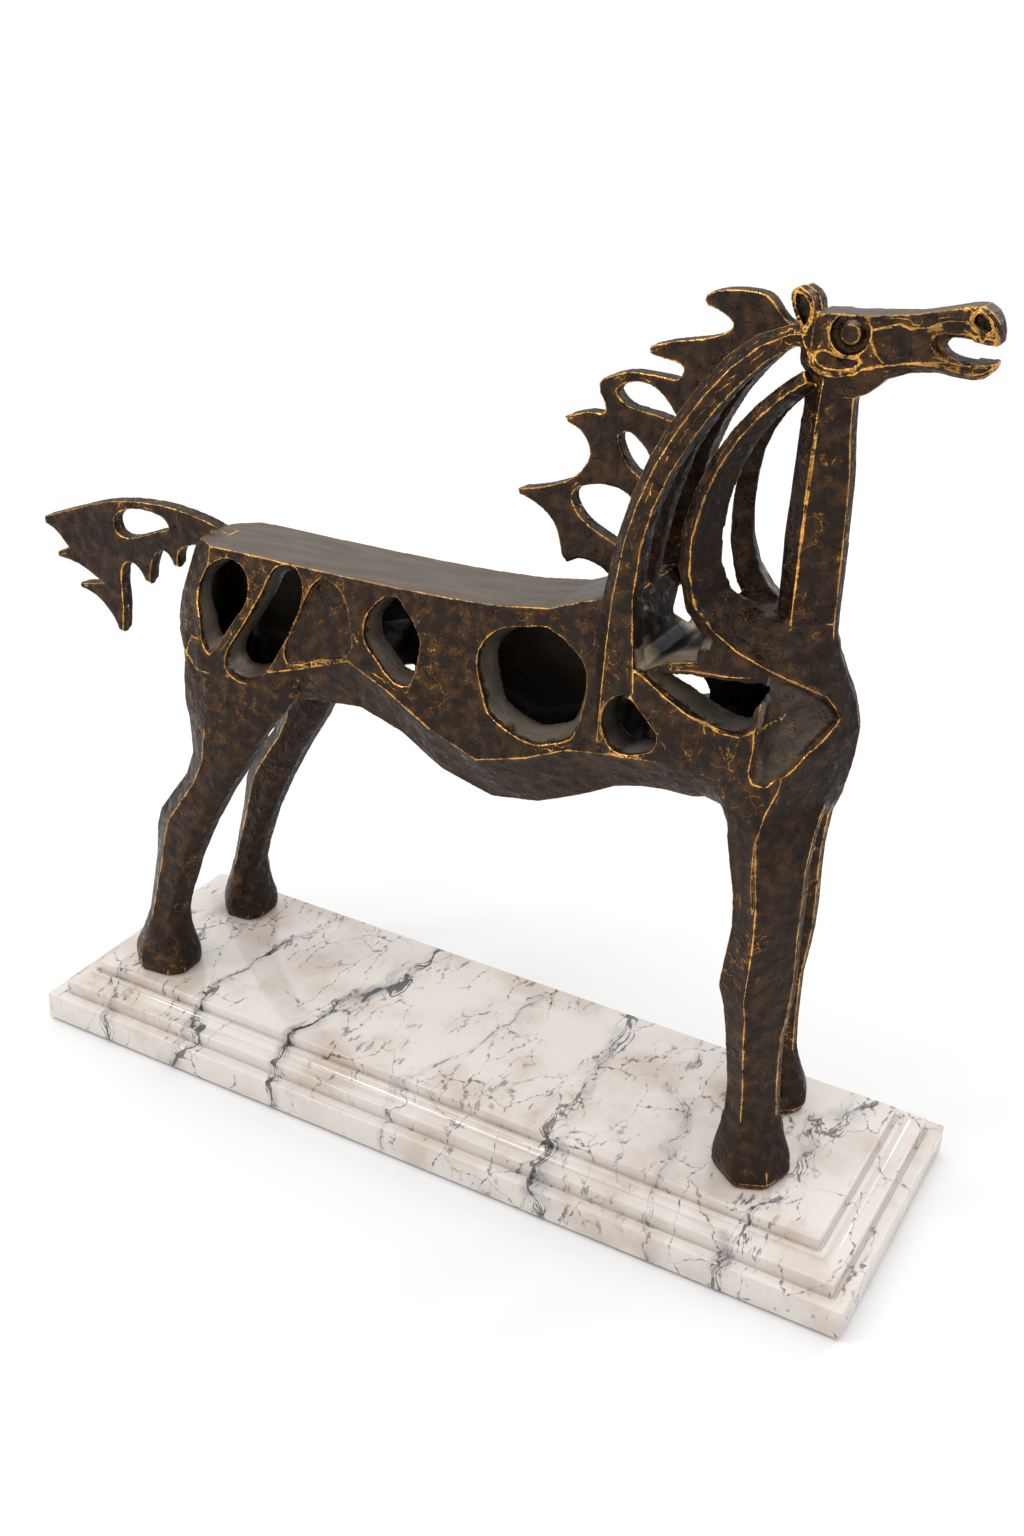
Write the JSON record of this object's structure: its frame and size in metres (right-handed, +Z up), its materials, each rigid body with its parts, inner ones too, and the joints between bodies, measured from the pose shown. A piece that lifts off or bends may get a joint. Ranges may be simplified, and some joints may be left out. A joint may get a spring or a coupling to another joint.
{
  "type": "horse sculpture",
  "caption": "Stylised standing horse in cast bronze with pierced hollow body, spiked mane and tail, on a stepped marble plinth.",
  "frame": {"origin": "centre of the plinth's underside, on the surface it stands on", "axes": "+Z up, +X along the plinth towards the horse's head, +Y to the horse's left side"},
  "size_m": [0.662, 0.2, 0.574],
  "materials": {
    "bronze": "dark brown patina on cast bronze, rubbed to gold along the arrises",
    "marble": "polished white marble with grey and brown veins"
  },
  "bodies": {
    "root": {"plinth": "marble", "horse": "bronze"}
  },
  "joints": []
}
